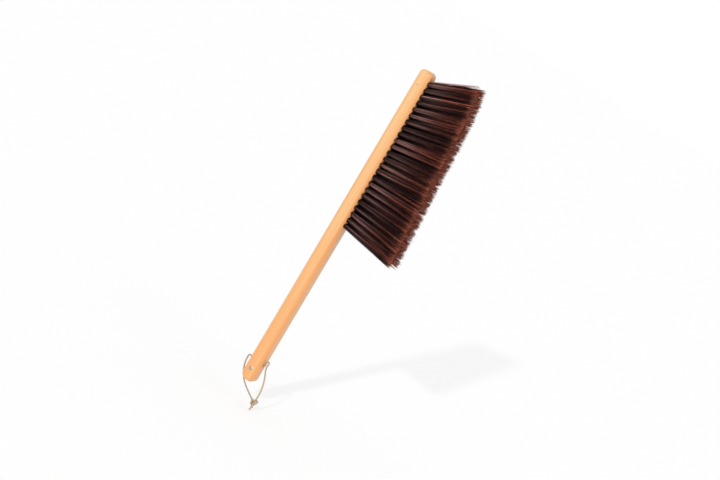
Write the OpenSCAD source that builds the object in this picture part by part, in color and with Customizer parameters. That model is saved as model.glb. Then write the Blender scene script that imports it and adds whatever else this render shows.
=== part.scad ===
// Straight wooden hand brush with a hanging cord.
// +Z runs from the hanging end (the butt) to the head, +X points towards the bristles and
// +Y points out of the flat side face that carries the origin. z = 0 is the level of the cord hole.

/* [Wooden body] */
// Length of the wooden bar
body_length = 361; // [350:1:370]
// Width of the bar, in the bristle direction
body_width = 15; // [15:0.5:16]
// Thickness of the bar, across the three rows of tufts
body_thickness = 18; // [18:0.5:20]
// Radius of the four long edges
edge_radius = 4.5; // [4:0.1:4.6]
// Radius of the hanging end's corner on the side away from the bristles
butt_spine_radius = 7; // [4.7:0.1:7]
// Radius of the hanging end's corner on the bristle side
butt_bristle_radius = 4.7; // [4.7:0.1:7]
// Radius of the corners at the head end, seen from the side
tip_radius = 5; // [4.7:0.1:6]

/* [Tufts] */
// Number of tufts in each outer row; the middle row has one less
tufts_per_row = 24; // [20:1:24]
// Distance between neighbouring rows of holes
row_spacing = 5.2; // [5:0.1:5.4]
// Diameter of a tuft hole
hole_d = 4.4; // [4:0.1:4.5]
// Depth of a tuft hole, along its own axis
hole_depth = 7.5; // [6.5:0.1:7.5]
// Distance from the butt to the first tuft
first_tuft = 186.7; // [182:0.1:188]
// Distance from the head end to the last tuft
last_tuft = 11; // [9.5:0.1:14]
// Lean of the first tuft, towards the butt
heel_lean = 6; // [3:0.5:8]
// Lean of the last tuft, towards the head
toe_lean = 21; // [16:0.5:23]
// Outward splay of the two outer rows
row_splay = 5.5; // [4.5:0.5:6]
// Bristle height above the wood at the first tuft's root
heel_height = 63; // [50:1:64]
// Angle at which the bristle ends are trimmed, lower towards the head
trim_angle = 3.2; // [0:0.1:4]
// Radius of a tuft at its splayed end
tuft_end_r = 3.3; // [2.6:0.1:3.4]

/* [Anchors] */
// Thickness of the flat wire that holds a tuft in its hole
anchor_t = 0.45; // [0.3:0.05:0.6]
// Height of the flat wire, along the hole
anchor_h = 2; // [1.5:0.1:2.2]
// Depth to which each end of the wire bites into the wall of the hole
anchor_bite = 0.25; // [0.15:0.05:0.3]

/* [Pins] */
// Diameter of the rivet through the handle
rivet_d = 4; // [3:0.1:4.5]
// Distance from the butt to the rivet
rivet_from_butt = 13.2; // [11:0.1:13.5]
// Diameter of the pin through the head
pin_d = 1.8; // [1.2:0.1:1.8]
// Distance from the head end to the head pin
pin_from_tip = 16.8; // [16:0.1:26]
// Distance of the head pin from the middle of the width, on the side away from the bristles
pin_offset = 1.4; // [1.4:0.1:3]

/* [Cord] */
// Diameter of the cord
cord_d = 1.5; // [1:0.1:1.6]
// Diameter of the cross hole for the cord
cord_hole_d = 2.6; // [2.4:0.1:3.4]
// Distance from the butt to the cord hole
cord_hole_from_butt = 20; // [19:0.5:21]
// Diameter of the knot
knot_d = 5.2; // [4.5:0.1:5.5]
// Length of the knot's barrel between its rounded ends
knot_barrel = 2.4; // [1.5:0.1:3]
// Length of the free ends below the knot
tail_length = 8; // [4:0.5:10]

/* [Hidden] */
$fn = 48;

wood = "burlywood";
fibre = [0.24, 0.12, 0.10];
metal = "silver";
cord = "tan";

cut = 0.5;          // how far a cutter runs past the face that it cuts
hole_play = 0.05;   // gap between a tuft and the wall of its hole
slot_play = 0.04;   // gap between a tuft and its anchor
press = 0.02;       // interference of a pin in its hole, on the radius
mouth_ease = 0.4;   // chamfer at both mouths of the cord hole
dome_h = 0.3;       // height of a pin's domed ends
pin_sink = 0.05;    // how far the top of a dome lies below the wood's face
anchor_floor = 1.3; // room for the folded fibres below an anchor

half_width = body_width / 2;
mid_y = -body_thickness / 2;
butt_z = -cord_hole_from_butt;
tip_z = butt_z + body_length;
row_first_z = butt_z + first_tuft;
row_last_z = tip_z - last_tuft;
heel_trim_x = half_width + heel_height;
untrimmed_length = 1.2 * heel_height;

// Row is -1 (front), 0 (middle) or 1 (rear). Tufts are counted from the butt, and the middle row's
// tufts stand halfway between those of the outer rows.
function tufts(row) = row == 0 ? [0.5 : tufts_per_row - 1.5] : [0 : tufts_per_row - 1];

// Share of the row's length, place and lean of tuft i
function along(i) = i / (tufts_per_row - 1);
function root_z(i) = row_first_z + (row_last_z - row_first_z) * along(i);
function lean(i) = -heel_lean + (heel_lean + toe_lean) * along(i);

// Puts its children at tuft i of a row: local +Z points out of the hole, local X lies along the body
module at_tuft(row, i) {
  translate([half_width, mid_y + row * row_spacing, root_z(i)])
    rotate([0, 90 - lean(i), row * row_splay])
      children();
}

// Repeats its children at each tuft of a row
module along_row(row) {
  for (i = tufts(row))
    at_tuft(row, i)
      children();
}

// ---------- wooden body ----------

// Half of the bar's section between the middle and a face, reach wide, rounded on its outer side
module edge_profile(reach) {
  t = body_thickness / 2;
  r = edge_radius;
  translate([0, -t])
    square([reach - r, 2 * t]);
  translate([0, -t + r])
    square([reach, 2 * (t - r)]);
  for (y = [-t + r, t - r])
    translate([reach - r, y])
      circle(r);
}

// Rounded end of the half bar, pointing to +Z and joined to it at z = 0
module rounded_end(r) {
  inner = half_width - r;
  intersection() {
    translate([inner, 0, 0])
      rotate([90, 0, 0])
        rotate_extrude()
          intersection() {
            edge_profile(r);
            translate([0, -body_thickness])
              square([r + cut, 2 * body_thickness]);
          }
    translate([inner, -body_thickness, 0])
      cube([r, 2 * body_thickness, r]);
  }
  intersection() {
    rotate([90, 0, 90])
      linear_extrude(inner)
        rotate(90)
          edge_profile(r);
    translate([0, -body_thickness, 0])
      cube([inner, 2 * body_thickness, r]);
  }
}

// The half of the bar between x = 0 and its +X face
module half_bar(butt_r) {
  translate([0, 0, butt_z + butt_r])
    linear_extrude(body_length - butt_r - tip_radius)
      edge_profile(half_width);
  translate([0, 0, tip_z - tip_radius])
    rounded_end(tip_radius);
  translate([0, 0, butt_z + butt_r])
    mirror([0, 0, 1])
      rounded_end(butt_r);
}

module bar() {
  translate([0, mid_y, 0]) {
    half_bar(butt_bristle_radius);
    mirror([1, 0, 0])
      half_bar(butt_spine_radius);
  }
}

// Blind holes of one row
module tuft_holes(row) {
  along_row(row)
    translate([0, 0, -hole_depth])
      cylinder(h = hole_depth + edge_radius, d = hole_d);
}

// Cross hole for the cord, with eased mouths
module cord_hole() {
  big_r = cord_hole_d / 2 + mouth_ease;
  translate([0, mid_y, 0])
    rotate([0, 90, 0]) {
      cylinder(h = body_width + 2 * cut, d = cord_hole_d, center = true);
      for (side = [0, 1])
        mirror([0, 0, side])
          translate([0, 0, half_width - mouth_ease])
            cylinder(h = mouth_ease + cut, r1 = big_r - mouth_ease, r2 = big_r + cut);
    }
}

// Hole across the thickness for a pin at height z
module pin_hole(x, z, d) {
  translate([x, cut, z])
    rotate([90, 0, 0])
      cylinder(h = body_thickness + 2 * cut, d = d);
}

module wooden_body() {
  color(wood)
    difference() {
      bar();
      for (row = [-1 : 1])
        tuft_holes(row);
      cord_hole();
      pin_hole(0, butt_z + rivet_from_butt, rivet_d - 2 * press);
      pin_hole(-pin_offset, tip_z - pin_from_tip, pin_d - 2 * press);
    }
}

// ---------- tufts and their anchors ----------

// One tuft, folded round its anchor in the hole and splayed outside it
module tuft() {
  root_r = hole_d / 2 - hole_play;
  difference() {
    union() {
      translate([0, 0, -hole_depth + hole_play])
        cylinder(h = hole_depth, r = root_r);
      cylinder(h = untrimmed_length, r1 = root_r, r2 = tuft_end_r);
    }
    translate([0, 0, -hole_depth + anchor_floor + anchor_h / 2])
      cube([hole_d + cut, anchor_t + 2 * slot_play, anchor_h + 2 * slot_play], center = true);
  }
}

// Everything beyond the slanted plane on which the bristle ends lie
module trimmed_away() {
  far = 2 * heel_height;
  translate([heel_trim_x, mid_y - far, row_first_z])
    rotate([0, -trim_angle, 0])
      translate([0, 0, -body_length])
        cube([far, 2 * far, 2 * body_length]);
}

module tuft_row(row) {
  color(fibre)
    difference() {
      along_row(row)
        tuft();
      trimmed_away();
    }
}

// Flat wire set across each hole of a row
module anchor_row(row) {
  color(metal)
    along_row(row)
      translate([0, 0, -hole_depth + anchor_floor + anchor_h / 2])
        cube([hole_d + 2 * anchor_bite, anchor_t, anchor_h], center = true);
}

module front_tuft_row() {
  tuft_row(-1);
}

module middle_tuft_row() {
  tuft_row(0);
}

module rear_tuft_row() {
  tuft_row(1);
}

module front_row_anchors() {
  anchor_row(-1);
}

module middle_row_anchors() {
  anchor_row(0);
}

module rear_row_anchors() {
  anchor_row(1);
}

// ---------- pins ----------

// Pin across the whole thickness; each end is a low dome that stops just short of the wood's face
module cross_pin(x, z, d) {
  r = d / 2;
  half_length = body_thickness / 2 - pin_sink;
  dome_r = (r * r + dome_h * dome_h) / (2 * dome_h);
  color(metal)
    translate([x, mid_y, z])
      rotate([90, 0, 0])
        rotate_extrude() {
          translate([0, dome_h - half_length])
            square([r, 2 * (half_length - dome_h)]);
          for (side = [0, 1])
            mirror([0, side])
              intersection() {
                translate([0, half_length - dome_r])
                  circle(dome_r);
                translate([0, half_length - dome_h])
                  square([r, dome_h]);
              }
        }
}

module handle_rivet() {
  cross_pin(0, butt_z + rivet_from_butt, rivet_d);
}

module head_pin() {
  cross_pin(-pin_offset, tip_z - pin_from_tip, pin_d);
}

// ---------- hanging cord ----------

// The cord lies in the plane y = mid_y, and its path is drawn there as [x, z] points.
// Each run is a chain of tangent pieces: [bend radius, turn], or [length, 0] when straight.
// A positive turn bends to the left of the direction of travel, with +X right and +Z up.
bristle_side_run = [[1.3, 90], [4, 0], [1.4, -197], [11, 46], [52, -37]];
spine_side_run = [[1.2, -85], [1.8, 172], [31, 58], [120, 9]];
degrees_per_step = 12;
ring_sides = 12;

// Point reached from p, when travelling in direction h along the first part f of a piece
function travel(p, h, piece, f = 1) =
  let (
    size = piece[0],
    turn = piece[1] * f,
    ahead = [cos(h), sin(h)],
    left = [-sin(h), cos(h)]
  )
  piece[1] == 0
    ? p + size * f * ahead
    : p + size * sin(abs(turn)) * ahead + sign(turn) * size * (1 - cos(turn)) * left;

function steps(piece) = max(2, ceil(abs(piece[1]) / degrees_per_step));

// Points along piece i of a run and along everything after it
function run_points(run, p, h, i = 0) =
  i == len(run)
    ? []
    : concat(
        [for (k = [1 : steps(run[i])]) travel(p, h, run[i], k / steps(run[i]))],
        run_points(run, travel(p, h, run[i]), h + run[i][1], i + 1)
      );

function reversed(list) = [for (i = [len(list) - 1 : -1 : 0]) list[i]];

bristle_side_points = run_points(bristle_side_run, [half_width, 0], 0);
spine_side_points = run_points(spine_side_run, [-half_width, 0], 180);
cord_path = concat(
  reversed(spine_side_points),
  [[-half_width, 0], [half_width, 0]],
  bristle_side_points
);
knot_at = (cord_path[0] + cord_path[len(cord_path) - 1]) / 2;

// Circle of points round point k of the path, square to the path there
function ring(path, k) =
  let (
    before = path[max(k - 1, 0)],
    after = path[min(k + 1, len(path) - 1)],
    ahead = (after - before) / norm(after - before),
    left = [-ahead.y, ahead.x],
    r = cord_d / 2
  )
  [
    for (j = [0 : ring_sides - 1])
      let (a = 360 * j / ring_sides, p = path[k] + r * cos(a) * left)
      [p.x, mid_y + r * sin(a), p.y]
  ];

// Round tube along a path
module tube(path) {
  last = len(path) - 1;
  points = [for (k = [0 : last]) each ring(path, k)];
  sides = [
    for (k = [0 : last - 1], j = [0 : ring_sides - 1])
      let (
        next = (j + 1) % ring_sides,
        a = k * ring_sides + j,
        b = k * ring_sides + next,
        c = a + ring_sides,
        d = b + ring_sides
      )
      each [[a, b, c], [b, d, c]]
  ];
  first_cap = [for (j = [ring_sides - 1 : -1 : 0]) j];
  last_cap = [for (j = [0 : ring_sides - 1]) last * ring_sides + j];
  polyhedron(points, concat(sides, [first_cap], [last_cap]));
}

// Round-ended barrel that lies along X
module knot() {
  half = knot_barrel / 2;
  r = knot_d / 2;
  rotate([0, 90, 0])
    rotate_extrude()
      intersection() {
        union() {
          translate([0, -half])
            square([r, 2 * half]);
          for (y = [-half, half])
            translate([0, y])
              circle(r);
        }
        translate([0, -knot_d])
          square([knot_d, 2 * knot_d]);
      }
}

module hanging_cord() {
  color(cord) {
    tube(cord_path);
    translate([knot_at.x, mid_y, knot_at.y]) {
      knot();
      translate([0, 0, -tail_length])
        cylinder(h = tail_length, d = cord_d);
    }
  }
}

wooden_body();
front_tuft_row();
middle_tuft_row();
rear_tuft_row();
front_row_anchors();
middle_row_anchors();
rear_row_anchors();
handle_rivet();
head_pin();
hanging_cord();
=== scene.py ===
import math

import bpy
import numpy as np
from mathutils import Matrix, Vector


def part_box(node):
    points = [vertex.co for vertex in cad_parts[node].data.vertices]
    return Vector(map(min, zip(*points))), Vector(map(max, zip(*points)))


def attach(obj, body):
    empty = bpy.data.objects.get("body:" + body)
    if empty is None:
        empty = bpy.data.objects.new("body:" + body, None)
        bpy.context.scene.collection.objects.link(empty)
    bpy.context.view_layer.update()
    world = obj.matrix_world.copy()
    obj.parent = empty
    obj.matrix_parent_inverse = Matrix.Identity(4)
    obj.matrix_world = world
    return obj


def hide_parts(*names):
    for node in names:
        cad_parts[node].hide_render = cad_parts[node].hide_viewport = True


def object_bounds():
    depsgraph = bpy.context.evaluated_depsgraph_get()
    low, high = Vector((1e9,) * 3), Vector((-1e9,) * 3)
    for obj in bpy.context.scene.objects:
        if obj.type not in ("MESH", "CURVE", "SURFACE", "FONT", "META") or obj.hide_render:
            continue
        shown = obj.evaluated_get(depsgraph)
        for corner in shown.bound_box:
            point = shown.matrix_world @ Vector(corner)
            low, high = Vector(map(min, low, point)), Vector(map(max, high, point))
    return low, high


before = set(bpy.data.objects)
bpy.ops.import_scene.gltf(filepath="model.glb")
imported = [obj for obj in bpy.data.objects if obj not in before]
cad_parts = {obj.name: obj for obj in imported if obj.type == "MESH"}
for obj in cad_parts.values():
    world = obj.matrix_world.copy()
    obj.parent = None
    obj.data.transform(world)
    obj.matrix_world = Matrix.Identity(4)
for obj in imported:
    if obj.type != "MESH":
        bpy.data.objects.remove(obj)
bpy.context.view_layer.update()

# Hand brush on a pale floor. Everything is in metres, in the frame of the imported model:
# +Z runs up the bar from its hanging end, +X points towards the bristles, +Y away from the camera.

MM = 0.001
SEED = 7
GOLDEN_ANGLE = math.pi * (3 - math.sqrt(5))

# Bristles
CLUMPS_PER_TUFT = 23
FIBRES_PER_CLUMP = 6
FIBRE_RADIUS = 0.17 * MM
FIBRE_SIDES = 3
RADIUS_SPREAD = 0.08         # of the fibres' radii, as a share
TAPER = 0.3                  # share of its radius that a fibre loses towards its end
FIBRE_SHARES = np.append(0.985 * np.linspace(0, 1, 8) ** 1.5, 1.0)   # stations along a fibre

# The bundle of one tuft
ROOT_DEPTH = 3.0 * MM        # how far inside its hole a fibre starts
HOLE_SPREAD = 1.9 * MM       # radius of the bundle inside the hole
SHOULDER_SPREAD = 2.6 * MM   # radius just outside the hole
SHOULDER_RISE = 2.5 * MM     # height over which the bundle swells
TIP_SPREAD = 4.3 * MM        # radius at the ends
CLUMP_JITTER = 0.05          # of a clump's place, as a share of the bundle's radius
FIBRE_JITTER = 0.15          # of a fibre's place in its clump, as a share of the bundle's radius
GATHERING = 0.15             # share by which a clump's fibres draw together towards its end

# How far the ends bend sideways, and a fine wave along each fibre
TUFT_BEND = 0.35 * MM
CLUMP_BEND = 0.7 * MM
FIBRE_BEND = 0.28 * MM
STRAY_BEND = 2.5 * MM
STRAY_SHARE = 0.03
WAVE_SIZE = 0.2 * MM
WAVE_TURN = 8                # in radians, over the fibre's length

# The trimmed ends
FRINGE = 0.9 * MM            # how far the mean fibre reaches past the CAD tuft's end
CLUMP_UNEVENNESS = 0.35 * MM
FIBRE_UNEVENNESS = 0.8 * MM
SHORT_SHARE = 0.12           # share of the fibres that are cut shorter
SHORT_BY = 5 * MM
TOE_LENGTH = 45 * MM         # distance from the head end over which the fringe is worn round
TOE_WEAR = 4.7 * MM          # how much shorter the outermost fibres there are

# Painted light and shade among the bristles, multiplied into the fibres' colour
SHADED_SIDE = 0.82           # share of a tuft's radius beyond which its neighbours shade it
LIT_FROM = 0.9               # share of a fibre above which its neighbours no longer shade it
OUTER_ROW_LIGHT = 1.0
MIDDLE_ROW_LIGHT = 0.04
CLUMP_TONE_SHARE = 0.6       # how much of a fibre's tone it has from its clump

# Cord
PLY_COUNT = 3
PLY_SIDES = 10
PLY_RADIUS = 0.46 * MM
PLY_OFFSET = 0.44 * MM
PLY_PITCH = 4.2 * MM
PLY_STEP = 0.35 * MM
RUN_STEP = 0.4 * MM
CORD_STEP = 0.5 * MM

# Half sizes of the knot and the courses of the free ends below its middle, in millimetres
KNOT_SIZE = (4.3, 2.0, 3.3)
LONG_TAIL = ((0.0, 0.0, -2.5), (0.3, 0.3, -5.0), (0.5, 0.2, -8.0), (-0.2, 0.2, -9.6))
SHORT_TAIL = ((0.6, -0.6, -2.4), (1.4, -0.9, -4.4), (2.4, -0.9, -5.6))

# Wood
WARM_WIDTH = 7.0 * MM        # width over which the wood turns from pale to warm, towards the bristles
STREAK_LENGTH = 220 * MM     # length over which the orange streaks of the hanging end fade

# Camera
VIEW_AZIMUTH = math.radians(18)
VIEW_ELEVATION = math.radians(8)
VIEW_ROLL = math.radians(30.77)
LENS = 100
VIEW_DISTANCE = 2.0
TARGET_RIGHT = 25.6 * MM
TARGET_HEIGHT = 161 * MM

# Light
WORLD_LEVEL = 0.78
KEY_STRENGTH = 1.4
KEY_AZIMUTH = math.radians(4.5)
KEY_ELEVATION = math.radians(17.8)
KEY_SOFTNESS = math.radians(1.6)
FILL_STRENGTH = 0.30
FILL_AZIMUTH = math.radians(75)
FILL_ELEVATION = math.radians(40)
FILL_SOFTNESS = math.radians(50)
FLOOR_GLOW = 0.505
FLOOR_ALBEDO = 0.5
FLOOR_GAP = 0.5 * MM         # between the floor and the lowest point of the cord
FLOOR_REACH = 30.0


# ---------------------------------------------------------------- meshes

def mesh_object(name, points, faces, values=None):
    """A smooth mesh piece from an array of points, a list of face index arrays and point values."""
    mesh = bpy.data.meshes.new(name)
    mesh.vertices.add(len(points))
    mesh.vertices.foreach_set("co", np.asarray(points, np.float32).ravel())
    corners = np.concatenate([f.ravel() for f in faces]).astype(np.int32)
    sizes = np.concatenate([np.full(len(f), f.shape[1]) for f in faces])
    starts = np.concatenate([[0], np.cumsum(sizes)[:-1]]).astype(np.int32)
    mesh.loops.add(len(corners))
    mesh.loops.foreach_set("vertex_index", corners)
    mesh.polygons.add(len(sizes))
    mesh.polygons.foreach_set("loop_start", starts)
    mesh.polygons.foreach_set("use_smooth", np.ones(len(sizes), bool))
    mesh.update(calc_edges=True)
    mesh.validate()
    for key, data in (values or {}).items():
        attribute = mesh.attributes.new(key, "FLOAT", "POINT")
        attribute.data.foreach_set("value", np.asarray(data, np.float32).ravel())
    piece = bpy.data.objects.new(name, mesh)
    bpy.context.scene.collection.objects.link(piece)
    return piece


def unit(vectors):
    """The vectors, each made one long."""
    return vectors / np.linalg.norm(vectors, axis=-1, keepdims=True)


def tubes(lines, radii, sides):
    """Closed tubes round many polylines at once.

    lines is (count, stations, 3) and radii is (count, stations). Each tube starts with a flat cap
    and ends in a point. Returns the points and the faces.
    """
    count, stations, _ = lines.shape
    ahead = np.empty_like(lines)
    ahead[:, 1:-1] = lines[:, 2:] - lines[:, :-2]
    ahead[:, 0] = lines[:, 1] - lines[:, 0]
    ahead[:, -1] = lines[:, -1] - lines[:, -2]
    ahead = unit(ahead)
    helper = np.where(np.abs(ahead[..., 1:2]) < 0.9, [[0.0, 1.0, 0.0]], [[1.0, 0.0, 0.0]])
    left = unit(np.cross(helper, ahead))
    up = np.cross(ahead, left)
    turn = 2 * math.pi * np.arange(sides) / sides
    around = np.cos(turn)[:, None] * left[:, :, None, :] + np.sin(turn)[:, None] * up[:, :, None, :]
    body = lines[:, :-1, None, :] + radii[:, :-1, None, None] * around[:, :-1]
    points = np.concatenate([body.reshape(count, -1, 3), lines[:, -1:]], axis=1)

    rings = stations - 1
    k, j = np.meshgrid(np.arange(rings - 1), np.arange(sides), indexing="ij")
    after = (j + 1) % sides
    this_ring = k * sides
    next_ring = this_ring + sides
    wall = np.stack([this_ring + j, this_ring + after, next_ring + after, next_ring + j], -1)
    wall = wall.reshape(-1, 4)
    first = np.arange(sides)
    last = (rings - 1) * sides + first
    end_point = np.full(sides, rings * sides)
    tip = np.stack([last, (rings - 1) * sides + (first + 1) % sides, end_point], -1)
    cap = first[::-1][None, :]
    offsets = (np.arange(count) * (rings * sides + 1))[:, None, None]
    faces = [(f[None] + offsets).reshape(-1, f.shape[1]) for f in (wall, tip, cap)]
    return points.reshape(-1, 3), faces


# ---------------------------------------------------------------- bristles

def separate_solids(node):
    """The points of each separate solid of a CAD node, in order up the bar."""
    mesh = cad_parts[node].data
    places, point_of = {}, []
    for vertex in mesh.vertices:
        key = tuple(round(c / (0.001 * MM)) for c in vertex.co)
        point_of.append(places.setdefault(key, len(places)))
    leader = list(range(len(places)))

    def find(p):
        while leader[p] != p:
            leader[p] = leader[leader[p]]
            p = leader[p]
        return p

    for edge in mesh.edges:
        a, b = (find(point_of[v]) for v in edge.vertices)
        leader[a] = b
    groups = {}
    for key, p in places.items():
        groups.setdefault(find(p), []).append(key)
    solids = [np.array(keys) * 0.001 * MM for keys in groups.values()]
    return sorted(solids, key=lambda points: points[:, 2].mean())


def tuft_line(points):
    """Where a tuft's axis starts in its hole and where it ends."""
    centre = points.mean(0)
    axis = np.linalg.svd(points - centre)[2][0]
    axis *= np.sign(axis[0])
    along = (points - centre) @ axis
    start = points[along < along.min() + 0.5 * MM].mean(0)
    end = points[along > along.max() - 6 * MM].mean(0)
    return start, end


def bundle_offsets(rng):
    """Where each fibre's clump stands across a disc of radius one, and the fibre's offset from it."""
    clumps = np.arange(CLUMPS_PER_TUFT)
    radius = np.sqrt((clumps + 0.5) / CLUMPS_PER_TUFT)
    angle = clumps * GOLDEN_ANGLE + rng.random() * 2 * math.pi
    centre = np.stack([radius * np.cos(angle), radius * np.sin(angle)], -1)
    centre += rng.normal(0, CLUMP_JITTER, centre.shape)
    centre = np.repeat(centre, FIBRES_PER_CLUMP, axis=0)
    return centre, rng.normal(0, FIBRE_JITTER, centre.shape)


def per_clump(values):
    """The clumps' values, repeated for each of their fibres."""
    return np.repeat(values, FIBRES_PER_CLUMP, axis=0)


def fibre_lines(start, end, trim_normal, face_x, row_top, rng):
    """The polylines of one tuft's fibres, from inside the hole to the trimmed end.

    Also returns how far along the bar each fibre's clump stands in the tuft, from -1 to 1.
    """
    axis = unit(end - start)
    mouth = start + axis * (face_x - start[0]) / axis[0]
    along_bar = unit(np.array([0.0, 0.0, 1.0]) - axis[2] * axis)
    across_bar = np.cross(axis, along_bar)
    count = CLUMPS_PER_TUFT * FIBRES_PER_CLUMP

    share = FIBRE_SHARES[None, :, None]
    height = share * np.linalg.norm(end - mouth)
    swell = 1 - np.exp(-height / SHOULDER_RISE)
    spread = HOLE_SPREAD + (SHOULDER_SPREAD - HOLE_SPREAD) * swell
    spread = spread + (TIP_SPREAD - SHOULDER_SPREAD) * share ** 1.2

    centre, offset = bundle_offsets(rng)
    side = centre[:, None] * spread + offset[:, None] * spread * (1 - GATHERING * share)
    clump_bend = per_clump(rng.normal(0, CLUMP_BEND, (CLUMPS_PER_TUFT, 1, 2)))
    fibre_bend = rng.normal(0, FIBRE_BEND, (count, 1, 2))
    is_stray = rng.random((count, 1, 1)) < STRAY_SHARE
    stray = is_stray * rng.normal(0, STRAY_BEND, (count, 1, 2))
    tuft_bend = rng.normal(0, TUFT_BEND, 2)
    side = side + (clump_bend + fibre_bend + stray + tuft_bend) * share ** 2
    phase = rng.random((count, 1, 2)) * 2 * math.pi
    side = side + WAVE_SIZE * np.sin(phase + WAVE_TURN * share) * share

    sideways = side[..., :1] * along_bar + side[..., 1:] * across_bar
    length = ((end - mouth - sideways[:, -1]) @ trim_normal) / (axis @ trim_normal)
    length += per_clump(rng.normal(FRINGE, CLUMP_UNEVENNESS, CLUMPS_PER_TUFT))
    length += rng.normal(0, FIBRE_UNEVENNESS, count)
    length -= (rng.random(count) < SHORT_SHARE) * rng.random(count) * SHORT_BY
    below_top = row_top - (mouth + axis * length[:, None] + sideways[:, -1])[:, 2]
    length -= TOE_WEAR * np.maximum(1 - below_top / TOE_LENGTH, 0) ** 2
    reach = -ROOT_DEPTH + share * (length[:, None, None] + ROOT_DEPTH)
    return mouth + axis * reach + sideways, centre[:, 0]


def bristle_row(name, node, openness, seed, material):
    """One row of tufts, standing for its CAD node; openness is how much painted light reaches its
    roots.

    The heel's and toe's outer sides have no neighbour, so no painted shade darkens them.
    """
    rng = np.random.default_rng(seed)
    ends = [tuft_line(points) for points in separate_solids(node)]
    face_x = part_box("wooden_body")[1].x
    slope = unit(ends[-1][1] - ends[0][1])
    trim_normal = unit(np.array([slope[2], 0.0, -slope[0]]))
    row_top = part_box(node)[1].z
    tufts = [fibre_lines(start, end, trim_normal, face_x, row_top, rng) for start, end in ends]
    lines = np.concatenate([lines for lines, _ in tufts])
    sides = [across for _, across in tufts]
    sides[0] = np.maximum(sides[0], 0)
    sides[-1] = np.minimum(sides[-1], 0)
    towards_neighbour = np.abs(np.concatenate(sides))

    thickness = rng.normal(1.0, RADIUS_SPREAD, (len(lines), 1))
    radii = FIBRE_RADIUS * thickness * (1 - TAPER * FIBRE_SHARES ** 2)
    points, faces = tubes(lines, radii, FIBRE_SIDES)
    along = np.append(np.repeat(FIBRE_SHARES[:-1], FIBRE_SIDES), 1.0)
    clump_tone = per_clump(rng.random(len(lines) // FIBRES_PER_CLUMP))
    fibre_tone = rng.random(len(lines))
    tone = CLUMP_TONE_SHARE * clump_tone + (1 - CLUMP_TONE_SHARE) * fibre_tone
    # Painted shade: fibres on a tuft's sides that face a neighbour, and the middle row's roots, get a
    # low 'light' value that darkens their colour; it rises to full towards the ends.
    unshaded = np.clip(1 - (towards_neighbour / SHADED_SIDE) ** 3, 0, 1)[:, None]
    painted_root_light = openness * unshaded
    rise = np.clip(along / LIT_FROM, 0, 1) ** 2
    values = {
        "along": np.tile(along, len(lines)),
        "tone": np.repeat(tone, len(along)),
        "light": painted_root_light + (1 - painted_root_light) * rise,
    }
    piece = mesh_object(name, points, faces, values)
    piece.data.materials.append(material)
    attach(piece, "brush")
    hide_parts(node)


# ---------------------------------------------------------------- cord

# Each run is a chain of tangent pieces in the plane of the loop: (bend radius, turn) in
# millimetres and degrees, or (length, 0) when straight. A positive turn bends left, with +X right.
BRISTLE_SIDE_RUN = [(1.3, 90), (4, 0), (1.4, -197), (11, 46), (52, -37)]
SPINE_SIDE_RUN = [(1.2, -85), (1.8, 172), (31, 58), (120, 9)]


def run_points(run, start, heading):
    """Points along a run, evenly spaced on each piece, as (x, z)."""
    points, place = [], np.array(start, float)
    for size, turn in run:
        size = size * MM
        length = size if turn == 0 else size * math.radians(abs(turn))
        count = max(3, round(length / RUN_STEP))
        ahead = np.array([math.cos(heading), math.sin(heading)])
        left = np.array([-ahead[1], ahead[0]])
        for i in range(1, count + 1):
            share = i / count
            if turn == 0:
                points.append(place + size * share * ahead)
            else:
                a = math.radians(abs(turn)) * share
                side = math.copysign(1, turn)
                points.append(place + size * (math.sin(a) * ahead + side * (1 - math.cos(a)) * left))
        place = points[-1]
        heading += math.radians(turn)
    return points


def smooth_line(points, passes):
    """The polyline with its corners eased."""
    points = np.array(points, float)
    for _ in range(passes):
        points[1:-1] = (points[:-2] + 2 * points[1:-1] + points[2:]) / 4
    return points


def evenly_spaced(points, step):
    """The polyline resampled at even distances."""
    lengths = np.linalg.norm(np.diff(points, axis=0), axis=1)
    at = np.concatenate([[0], np.cumsum(lengths)])
    wanted = np.linspace(0, at[-1], max(4, round(at[-1] / step)))
    return np.stack([np.interp(wanted, at, points[:, i]) for i in range(3)], -1)


def knot_line(centre, size):
    """An overhand knot's turns round the centre."""
    t = np.linspace(math.radians(20), math.radians(340), 80)
    x = (np.sin(t) + 2 * np.sin(2 * t)) / 3
    z = (np.cos(t) - 2 * np.cos(2 * t)) / 3
    y = -np.sin(3 * t)
    return centre + np.stack([x * size[0], y * size[1], z * size[2]], -1)


def plies(line):
    """Twisted plies round a line, as closed tubes."""
    line = evenly_spaced(line, PLY_STEP)
    ahead = unit(np.gradient(line, axis=0))
    up = np.zeros_like(line)
    up[0] = unit(np.cross(ahead[0], [0.0, 1.0, 0.0]))
    for i in range(1, len(line)):
        carried = up[i - 1] - (up[i - 1] @ ahead[i]) * ahead[i]
        up[i] = carried / np.linalg.norm(carried)
    left = np.cross(ahead, up)
    gone = np.concatenate([[0], np.cumsum(np.linalg.norm(np.diff(line, axis=0), axis=1))])
    strands = []
    for ply in range(PLY_COUNT):
        turn = 2 * math.pi * (gone / PLY_PITCH + ply / PLY_COUNT)
        strands.append(line + PLY_OFFSET * (np.cos(turn)[:, None] * up + np.sin(turn)[:, None] * left))
    strands = np.array(strands)
    radii = np.full(strands.shape[:2], PLY_RADIUS)
    return tubes(strands, radii, PLY_SIDES)


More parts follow.
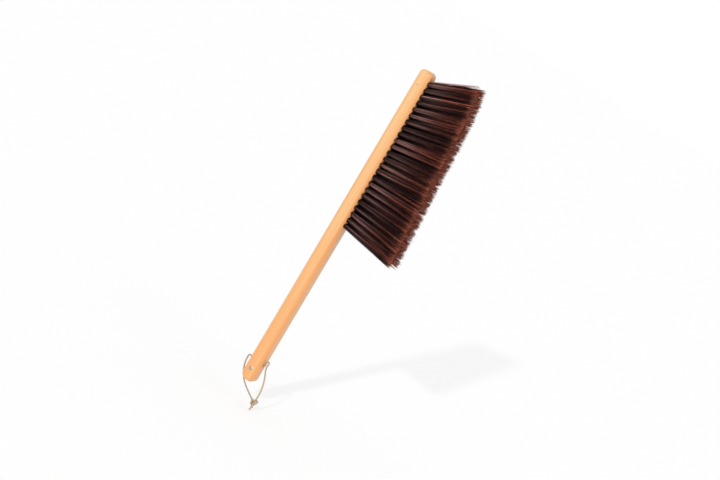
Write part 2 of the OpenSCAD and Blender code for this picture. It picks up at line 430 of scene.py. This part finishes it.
def hanging_cord():
    """The knotted loop of twisted cord, standing for its CAD node."""
    wood_low, wood_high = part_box("wooden_body")
    mid_y = (wood_low.y + wood_high.y) / 2
    bristle_run = run_points(BRISTLE_SIDE_RUN, (wood_high.x, 0), 0)
    spine_run = run_points(SPINE_SIDE_RUN, (wood_low.x, 0), math.pi)
    hole = [np.array([x, 0.0]) for x in np.linspace(wood_low.x, wood_high.x, 30)[1:-1]]
    loop = spine_run[::-1] + hole + bristle_run
    loop = np.array([[x, mid_y, z] for x, z in loop])
    knot_centre = (loop[0] + loop[-1]) / 2
    turns = knot_line(knot_centre, np.array(KNOT_SIZE) * MM)
    long_tail = knot_centre + np.array(LONG_TAIL) * MM
    short_tail = knot_centre + np.array(SHORT_TAIL) * MM
    main = np.concatenate([short_tail[::-1], [knot_centre], loop[3:-3], turns, long_tail])
    main = smooth_line(evenly_spaced(main, CORD_STEP), 3)
    points, faces = plies(main)
    piece = mesh_object("hanging_cord_plies", points, faces)
    piece.data.materials.append(cord_material())
    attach(piece, "hanging_loop")
    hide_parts("hanging_cord")


# ---------------------------------------------------------------- materials

class Nodes:
    """Short calls for building a material's node tree."""

    def __init__(self, name):
        self.material = bpy.data.materials.new(name)
        self.material.use_nodes = True
        self.tree = self.material.node_tree
        self.shader = self.tree.nodes["Principled BSDF"]

    def add(self, kind, **settings):
        """A new node; a setting is a property of the node, or an input's value or link."""
        node = self.tree.nodes.new(kind)
        for key, value in settings.items():
            if hasattr(node, key):
                setattr(node, key, value)
            else:
                self.put(node.inputs[key.replace("_", " ")], value)
        return node

    def put(self, socket, value):
        """Links the socket to an output, or sets its value."""
        if isinstance(value, bpy.types.NodeSocket):
            self.tree.links.new(value, socket)
        else:
            socket.default_value = value

    def shade(self, **inputs):
        """Sets inputs of the material's shader."""
        for key, value in inputs.items():
            self.put(self.shader.inputs[key.replace("_", " ")], value)

    def math(self, operation, a, b=0.0, c=0.0):
        node = self.add("ShaderNodeMath", operation=operation)
        for socket, value in zip(node.inputs, (a, b, c)):
            self.put(socket, value)
        return node.outputs[0]

    def attribute(self, name):
        return self.add("ShaderNodeAttribute", attribute_name=name).outputs["Fac"]

    def place(self, scale):
        """Object coordinates, scaled along each axis."""
        coordinates = self.add("ShaderNodeTexCoord").outputs["Object"]
        return self.add("ShaderNodeMapping", Vector=coordinates, Scale=scale).outputs["Vector"]

    def noise(self, vector, scale=1.0, detail=3.0, roughness=0.5, distortion=0.0):
        node = self.add(
            "ShaderNodeTexNoise",
            Vector=vector,
            Scale=scale,
            Detail=detail,
            Roughness=roughness,
            Distortion=distortion,
        )
        return node.outputs["Fac"]

    def ramp(self, value, *stops):
        """A colour ramp; each stop is (place, colour)."""
        node = self.add("ShaderNodeValToRGB", Fac=value)
        ramp = node.color_ramp
        while len(ramp.elements) < len(stops):
            ramp.elements.new(0.5)
        for element, (place, colour) in zip(ramp.elements, stops):
            element.position = place
            element.color = (*colour, 1.0)
        return node.outputs["Color"]

    def mix(self, share, a, b, blend="MIX"):
        """Colour a, with b blended over it."""
        node = self.add("ShaderNodeMix", data_type="RGBA", blend_type=blend)
        self.put(node.inputs["Factor"], share)
        self.put(node.inputs[6], a)
        self.put(node.inputs[7], b)
        return node.outputs[2]

    def grey(self, value):
        """A grey of the given brightness, which may exceed one."""
        node = self.add("ShaderNodeCombineColor", Red=value, Green=value, Blue=value)
        return node.outputs["Color"]

    def bump(self, height, distance, strength=1.0):
        node = self.add("ShaderNodeBump", Height=height, Distance=distance, Strength=strength)
        self.put(self.shader.inputs["Normal"], node.outputs["Normal"])


def wood_material():
    """Light lacquered beech: soft growth bands, orange streaks near the butt, fine grain and flecks."""
    n = Nodes("lacquered_beech")
    warp = n.noise(n.place((40, 40, 6)), detail=2)
    bands = n.noise(n.place((420, 420, 4)), detail=3, roughness=0.55, distortion=0.3)
    bands = n.math("ADD", bands, n.math("MULTIPLY", n.math("SUBTRACT", warp, 0.5), 0.5))
    pale = n.ramp(
        bands,
        (0.30, (0.745, 0.370, 0.135)),
        (0.46, (0.755, 0.435, 0.180)),
        (0.62, (0.765, 0.490, 0.230)),
        (0.78, (0.745, 0.400, 0.155)),
    )
    warm = n.ramp(
        bands,
        (0.30, (0.66, 0.240, 0.060)),
        (0.46, (0.72, 0.300, 0.085)),
        (0.62, (0.75, 0.365, 0.125)),
        (0.78, (0.69, 0.265, 0.070)),
    )
    place = n.add("ShaderNodeSeparateXYZ", Vector=n.place((1, 1, 1))).outputs
    heart = n.math("MULTIPLY_ADD", place["X"], 1 / WARM_WIDTH, n.math("MULTIPLY_ADD", warp, 1.2, -0.45))
    colour = n.mix(n.ramp(heart, (0.0, (0, 0, 0)), (1.0, (1, 1, 1))), pale, warm)
    near_butt = n.math("MULTIPLY_ADD", place["Z"], -1 / STREAK_LENGTH, 0.75)
    near_butt = n.math("MAXIMUM", near_butt, 0.0)
    streaks = n.ramp(bands, (0.34, (1, 1, 1)), (0.58, (0, 0, 0)))
    streaks = n.math("MULTIPLY_ADD", streaks, 0.8, 0.2)
    colour = n.mix(n.math("MULTIPLY", near_butt, streaks), colour, (0.76, 0.275, 0.055, 1.0))
    fine = n.noise(n.place((2600, 2600, 28)), detail=3, roughness=0.6)
    colour = n.mix(n.math("MULTIPLY", fine, 0.35), colour, (0.70, 0.35, 0.14, 1.0))
    fleck_noise = n.noise(n.place((3200, 3200, 420)), detail=1)
    flecks = n.ramp(fleck_noise, (0.62, (0, 0, 0)), (0.70, (1, 1, 1)))
    colour = n.mix(n.math("MULTIPLY", flecks, 0.30), colour, (0.56, 0.26, 0.10, 1.0))
    n.shade(Base_Color=colour)
    n.shade(Roughness=n.math("MULTIPLY_ADD", fine, 0.16, 0.34))
    n.shade(Coat_Weight=0.45, Coat_Roughness=0.18)
    n.bump(n.math("MULTIPLY_ADD", flecks, -0.4, fine), 0.04 * MM, 0.35)
    return n.material


def bristle_material():
    """Dark fibre, near black at the root and reddish brown at its end; the greyer band just above the
    root is partly painted sheen, and painted shade comes from the 'light' attribute.
    """
    n = Nodes("dark_fibre")
    along = n.attribute("along")
    tone = n.attribute("tone")
    mottle = n.noise(n.place((700, 700, 700)), detail=1)
    # The greyer, lighter stops at 0.14 and 0.28 are partly painted sheen near the root, partly the
    # fibre's own brown.
    colour = n.ramp(
        n.math("ADD", along, n.math("MULTIPLY_ADD", mottle, 0.2, -0.1)),
        (0.04, (0.060, 0.026, 0.022)),
        (0.14, (0.150, 0.072, 0.064)),
        (0.28, (0.155, 0.082, 0.074)),
        (0.46, (0.110, 0.045, 0.040)),
        (0.62, (0.078, 0.023, 0.019)),
        (0.76, (0.050, 0.010, 0.008)),
        (0.90, (0.048, 0.009, 0.007)),
        (1.00, (0.270, 0.082, 0.046)),
    )
    red = n.ramp(tone, (0.60, (0, 0, 0)), (0.85, (1, 1, 1)))
    colour = n.mix(n.math("MULTIPLY", red, along), colour, (0.115, 0.030, 0.017, 1.0))
    strength = n.math("MULTIPLY_ADD", n.math("POWER", tone, 3.4), 6.2, 0.08)
    strength = n.math("MULTIPLY_ADD", n.math("POWER", along, 16.0), 0.75, strength)
    # Painted shade: the colour, and below it the specular level, are scaled by the 'light' attribute.
    strength = n.math("MULTIPLY", strength, n.attribute("light"))
    colour = n.mix(1.0, colour, n.grey(strength), "MULTIPLY")
    n.shade(Base_Color=colour, Roughness=0.34, IOR=1.45)
    n.shade(Specular_IOR_Level=n.math("MULTIPLY", n.attribute("light"), 0.28))
    return n.material


def cord_material():
    """Waxed flax: tan, with painted maroon shade between its plies, and fine fibres along them."""
    n = Nodes("waxed_flax")
    fibres = n.noise(n.place((2600, 2600, 2600)), detail=4, roughness=0.7)
    patches = n.noise(n.place((220, 220, 220)), detail=2)
    colour = n.ramp(
        fibres,
        (0.25, (0.32, 0.22, 0.13)),
        (0.55, (0.54, 0.41, 0.27)),
        (0.80, (0.68, 0.55, 0.39)),
    )
    colour = n.mix(n.math("MULTIPLY", patches, 0.3), colour, (0.34, 0.22, 0.13, 1.0))
    # Painted shade: ambient occlusion tints the creases between the plies dark maroon.
    painted_shade_occlusion = n.add("ShaderNodeAmbientOcclusion", Distance=0.8 * MM).outputs["AO"]
    dark = n.ramp(painted_shade_occlusion, (0.35, (0.36, 0.16, 0.13)), (0.85, (1, 1, 1)))
    colour = n.mix(1.0, colour, dark, "MULTIPLY")
    n.shade(Base_Color=colour, Roughness=0.55, Sheen_Weight=0.2)
    n.bump(fibres, 0.06 * MM, 0.6)
    return n.material


def metal_material(name, colour, grain):
    """Bare metal with fine scratches and a dull, uneven shine."""
    n = Nodes(name)
    scratches = n.noise(n.place(grain), detail=4, roughness=0.65)
    dull = n.noise(n.place((900, 900, 900)), detail=3)
    dark = tuple(0.62 * c for c in colour)
    n.shade(Base_Color=n.ramp(dull, (0.3, dark), (0.65, colour)))
    n.shade(Metallic=1.0, Roughness=n.math("MULTIPLY_ADD", scratches, 0.3, 0.25))
    n.bump(scratches, 0.02 * MM, 0.4)
    return n.material


def floor_material():
    """Pale matt paper with a barely visible tooth."""
    n = Nodes("pale_paper")
    tooth = n.noise(n.place((900, 900, 900)), detail=2)
    low, high = FLOOR_ALBEDO - 0.01, FLOOR_ALBEDO + 0.01
    n.shade(Base_Color=n.ramp(tooth, (0.3, (low, low, low)), (0.7, (high, high, high))))
    n.shade(Roughness=1.0, Specular_IOR_Level=0.0)
    n.shade(Emission_Color=(1.0, 1.0, 1.0, 1.0), Emission_Strength=FLOOR_GLOW)
    return n.material


def dress_cad_nodes():
    """Gives the CAD nodes that stay in view their materials."""
    pin_metal = metal_material("dull_aluminium", (0.50, 0.48, 0.46), (5200, 800, 5200))
    wire_metal = metal_material("anchor_wire", (0.60, 0.57, 0.52), (900, 900, 6000))
    looks = {
        "wooden_body": wood_material(),
        "handle_rivet": pin_metal,
        "head_pin": pin_metal,
        "front_row_anchors": wire_metal,
        "middle_row_anchors": wire_metal,
        "rear_row_anchors": wire_metal,
    }
    for node, material in looks.items():
        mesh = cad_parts[node].data
        mesh.materials.clear()
        mesh.materials.append(material)


# ---------------------------------------------------------------- stage

def view_axes():
    """The camera's backward, right and up directions before it is rolled."""
    a, e = VIEW_AZIMUTH, VIEW_ELEVATION
    back = Vector((math.sin(a) * math.cos(e), -math.cos(a) * math.cos(e), math.sin(e)))
    right = Vector((math.cos(a), math.sin(a), 0.0))
    return back, right, back.cross(right)


def add_camera():
    """A long-lens camera that shows the brush leaning, hanging end down."""
    wood_low, wood_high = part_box("wooden_body")
    back, right, up = view_axes()
    target = Vector(((wood_low.x + wood_high.x) / 2, (wood_low.y + wood_high.y) / 2, TARGET_HEIGHT))
    target += TARGET_RIGHT * right
    rolled_right = math.cos(VIEW_ROLL) * right + math.sin(VIEW_ROLL) * up
    rolled_up = math.cos(VIEW_ROLL) * up - math.sin(VIEW_ROLL) * right
    data = bpy.data.cameras.new("camera")
    data.lens = LENS
    data.clip_end = 100
    camera = bpy.data.objects.new("camera", data)
    matrix = camera.matrix_world.copy()
    for row in range(3):
        matrix[row][0] = rolled_right[row]
        matrix[row][1] = rolled_up[row]
        matrix[row][2] = back[row]
        matrix[row][3] = (target + back * VIEW_DISTANCE)[row]
    camera.matrix_world = matrix
    bpy.context.scene.collection.objects.link(camera)
    bpy.context.scene.camera = camera


def add_sun(name, strength, azimuth, elevation, softness):
    """A distant light; its azimuth is measured like the camera's."""
    data = bpy.data.lights.new(name, "SUN")
    data.energy = strength
    data.angle = softness
    sun = bpy.data.objects.new(name, data)
    towards = Vector((math.sin(azimuth), -math.cos(azimuth), math.tan(elevation)))
    sun.rotation_euler = towards.to_track_quat("Z", "Y").to_euler()
    bpy.context.scene.collection.objects.link(sun)


def add_light():
    """White surroundings, a low key from the camera's side and a very soft fill on the bristle side."""
    scene = bpy.context.scene
    world = bpy.data.worlds.new("white_room")
    world.use_nodes = True
    background = world.node_tree.nodes["Background"]
    background.inputs["Color"].default_value = (1.0, 1.0, 1.0, 1.0)
    seen = world.node_tree.nodes.new("ShaderNodeLightPath").outputs["Is Camera Ray"]
    level = world.node_tree.nodes.new("ShaderNodeMath")
    level.operation = "MAXIMUM"
    level.inputs[1].default_value = WORLD_LEVEL
    world.node_tree.links.new(seen, level.inputs[0])
    world.node_tree.links.new(level.outputs[0], background.inputs["Strength"])
    scene.world = world
    add_sun("key", KEY_STRENGTH, KEY_AZIMUTH, KEY_ELEVATION, KEY_SOFTNESS)
    add_sun("fill", FILL_STRENGTH, FILL_AZIMUTH, FILL_ELEVATION, FILL_SOFTNESS)
    scene.view_settings.view_transform = "Standard"


def add_floor():
    """A wide pale floor just below the cord's free ends."""
    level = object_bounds()[0][2] - FLOOR_GAP
    count = 9
    across = np.linspace(-FLOOR_REACH, FLOOR_REACH, count)
    points = np.array([(x, y, level) for x in across for y in across])
    corner = np.array([[i * count + j for j in range(count - 1)] for i in range(count - 1)]).reshape(-1)
    faces = np.stack([corner, corner + count, corner + count + 1, corner + 1], -1)
    floor = mesh_object("floor", points, [faces])
    floor.data.materials.append(floor_material())


# ---------------------------------------------------------------- the brush

dress_cad_nodes()
fibre = bristle_material()
bristle_row("front_row_bristles", "front_tuft_row", OUTER_ROW_LIGHT, SEED, fibre)
bristle_row("middle_row_bristles", "middle_tuft_row", MIDDLE_ROW_LIGHT, SEED + 1, fibre)
bristle_row("rear_row_bristles", "rear_tuft_row", OUTER_ROW_LIGHT, SEED + 2, fibre)
hanging_cord()
add_floor()
add_light()
add_camera()
